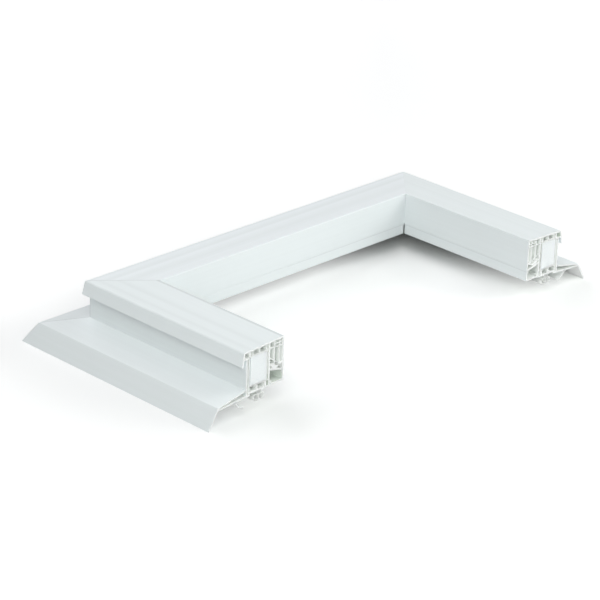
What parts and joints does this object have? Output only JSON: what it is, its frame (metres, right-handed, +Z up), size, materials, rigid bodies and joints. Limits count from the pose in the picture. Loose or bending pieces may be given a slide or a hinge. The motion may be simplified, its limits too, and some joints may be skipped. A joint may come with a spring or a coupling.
{
  "type": "rooflight frame profile section",
  "caption": "U-shaped corner sample of a white multi-chamber plastic rooflight frame with foam core, sloping skirt and flap, drip lip, inner trim and soft seals.",
  "frame": {"origin": "middle of the footprint, on the floor that the skirt flaps stand on", "axes": "+X along the back rail, +Y from the sawn ends towards the back rail, +Z up"},
  "size_m": [0.7718, 0.3808, 0.0985],
  "materials": {
    "frame_pvc": "white extruded, satin",
    "trim_pvc": "white extruded, satin",
    "foam": "white expanded polystyrene, sawn",
    "soft_seal": "pale soft seal, matt",
    "clear_seal": "translucent soft seal"
  },
  "bodies": {
    "root": {"frame_rail_left": "frame_pvc", "frame_rail_back": "frame_pvc", "frame_rail_right": "frame_pvc", "insulation_core_left": "foam", "insulation_core_back": "foam", "insulation_core_right": "foam", "inner_trim_left": "trim_pvc", "inner_trim_back": "trim_pvc", "inner_trim_right": "trim_pvc", "skirt_seal_left": "soft_seal", "skirt_seal_back": "soft_seal", "skirt_seal_right": "soft_seal", "base_seal_left": "clear_seal", "base_seal_back": "clear_seal", "base_seal_right": "clear_seal"}
  },
  "joints": []
}
